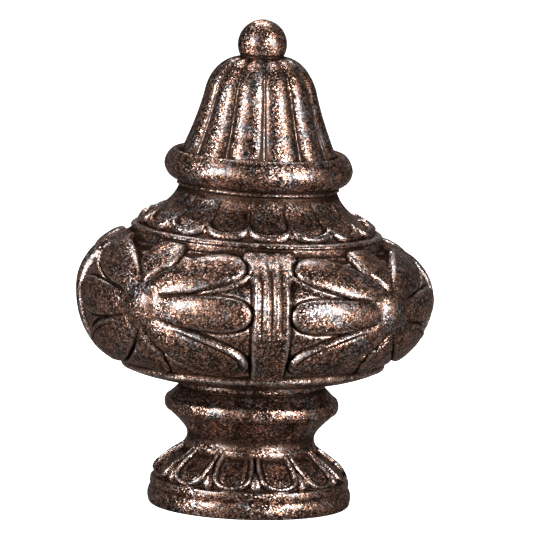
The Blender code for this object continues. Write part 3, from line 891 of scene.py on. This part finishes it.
class FINIAL_OT_studio(bpy.types.Operator):
    """Lay the pale floor, hang the soft lights and set up the camera"""
    bl_idname = "finial.studio"
    bl_label = "Studio"

    def execute(self, context):
        settings = context.scene.finial_studio
        self.floor(context, settings)
        self.lights(context, settings)
        self.camera(context, settings)
        scene = context.scene
        scene.view_settings.view_transform = "Standard"
        self.air(scene)
        return {"FINISHED"}

    def air(self, scene):
        """Pale air: white where it is looked at, dim in front and bright behind as light."""
        world = bpy.data.worlds.new("studio_air")
        world.use_nodes = True
        tree = world.node_tree
        seen = tree.nodes["Background"]
        seen.inputs["Color"].default_value = (1.0, 1.0, 1.0, 1.0)
        n = Nodes(tree)
        facing = n.add("ShaderNodeSeparateXYZ")
        n.link(n.add("ShaderNodeTexCoord").outputs["Generated"], facing.inputs["Vector"])
        glow = n.add("ShaderNodeBackground")
        glow.inputs["Color"].default_value = (1.0, 0.90, 0.84, 1.0)
        n.link(n.span(facing.outputs["Y"], -0.2, 0.9, 0.035, 0.26), glow.inputs["Strength"])
        n.by_ray(glow.outputs["Background"], seen.outputs["Background"],
                 tree.nodes["World Output"])
        scene.world = world

    def floor(self, context, settings):
        """Round floor: white where it is looked at, dim in what the finial reflects."""
        bm = bmesh.new()
        bmesh.ops.create_circle(bm, cap_ends=True, segments=96, radius=8.0)
        mesh = bpy.data.meshes.new("studio_floor")
        bm.to_mesh(mesh)
        bm.free()
        floor = bpy.data.objects.new("studio_floor", mesh)
        context.scene.collection.objects.link(floor)
        mesh.shade_smooth()
        material = bpy.data.materials.new("floor_white")
        material.use_nodes = True
        shader = material.node_tree.nodes["Principled BSDF"]
        shader.inputs["Base Color"].default_value = settings.floor_colour
        shader.inputs["Roughness"].default_value = 0.9
        shader.inputs["Emission Color"].default_value = (1.0, 1.0, 1.0, 1.0)
        shader.inputs["Emission Strength"].default_value = 0.8
        n = Nodes(material.node_tree)
        dim = n.add("ShaderNodeBsdfDiffuse")
        dim.inputs["Color"].default_value = (0.17, 0.142, 0.125, 1.0)
        n.by_ray(dim.outputs["BSDF"], shader.outputs["BSDF"],
                 material.node_tree.nodes["Material Output"])
        mesh.materials.append(material)

    def lights(self, context, settings):
        """Two tall soft lights beside the camera and two small ones high behind."""
        turn = math.degrees(settings.camera_turn)
        plan = (("light_left", turn - 50.0, 15.0, 0.24, 0.46, settings.main_power),
                ("light_right", turn + 50.0, 15.0, 0.24, 0.46, settings.main_power),
                ("light_back_left", turn - 160.0, 62.0, 0.2, 0.2, settings.back_power),
                ("light_back_right", turn + 160.0, 62.0, 0.2, 0.2, settings.back_power))
        for name, azimuth, lift, wide, tall, power in plan:
            data = bpy.data.lights.new(name, "AREA")
            data.shape = "ELLIPSE"
            data.size = wide
            data.size_y = tall
            data.energy = power
            data.color = LIGHT_COLOUR
            out = direction(math.radians(azimuth), math.radians(lift))
            lamp = bpy.data.objects.new(name, data)
            lamp.location = STUDIO_MIDDLE + out * LIGHT_DISTANCE
            lamp.rotation_mode = "QUATERNION"
            lamp.rotation_quaternion = out.to_track_quat("Z", "Y")
            context.scene.collection.objects.link(lamp)

    def camera(self, context, settings):
        """The photo's camera: its angle, and the finial at its size and place."""
        turn, distance = settings.camera_turn, settings.camera_distance
        back = direction(turn, settings.camera_lift)
        right = Vector((math.cos(turn), math.sin(turn), 0.0))
        up = back.cross(right)
        stand = Matrix((right, up, back)).transposed().to_4x4()
        stand = stand @ Matrix.Rotation(settings.camera_roll, 4, "Z")
        aside = Vector(((PHOTO_MIDDLE - FINIAL_ACROSS) / PIXELS_PER_METRE,
                        (FINIAL_DOWN - PHOTO_MIDDLE) / PIXELS_PER_METRE, 0.0))
        stand.translation = STUDIO_MIDDLE + back * distance + stand.to_3x3() @ aside
        data = bpy.data.cameras.new("camera")
        data.sensor_width = SENSOR_WIDTH
        data.lens = SENSOR_WIDTH * distance / (PHOTO_SIDE / PIXELS_PER_METRE)
        data.clip_start, data.clip_end = 0.05, 20.0
        camera = bpy.data.objects.new("camera", data)
        camera.matrix_world = stand
        context.scene.collection.objects.link(camera)
        context.scene.camera = camera


class FINIAL_PT_panel(bpy.types.Panel):
    """Sizes, colours and steps of the finial"""
    bl_idname = "FINIAL_PT_panel"
    bl_label = "Finial"
    bl_space_type = "VIEW_3D"
    bl_region_type = "UI"
    bl_category = "Finial"

    def draw(self, context):
        """A box for each group of values, with the button of its step."""
        for title, group, operator in (
                ("Casting", context.scene.finial_sizes, "finial.casting"),
                ("Finish", context.scene.finial_finish, None),
                ("Studio", context.scene.finial_studio, "finial.studio")):
            box = self.layout.box()
            box.label(text=title)
            for name in group.bl_rna.properties.keys():
                if name not in ("rna_type", "name"):
                    box.prop(group, name)
            if operator:
                box.operator(operator)


CLASSES = (CastingSizes, FinishColours, StudioSettings, FINIAL_OT_casting, FINIAL_OT_studio,
           FINIAL_PT_panel)


def register():
    """Add the classes, and their values to the scene."""
    for cls in CLASSES:
        bpy.utils.register_class(cls)
    bpy.types.Scene.finial_sizes = PointerProperty(type=CastingSizes)
    bpy.types.Scene.finial_finish = PointerProperty(type=FinishColours)
    bpy.types.Scene.finial_studio = PointerProperty(type=StudioSettings)


def unregister():
    """Take away what register has added."""
    del bpy.types.Scene.finial_studio
    del bpy.types.Scene.finial_finish
    del bpy.types.Scene.finial_sizes
    for cls in reversed(CLASSES):
        bpy.utils.unregister_class(cls)


def main():
    """Build the finial and its studio."""
    register()
    bpy.ops.finial.casting()
    bpy.ops.finial.studio()


if __name__ == "__main__":
    main()
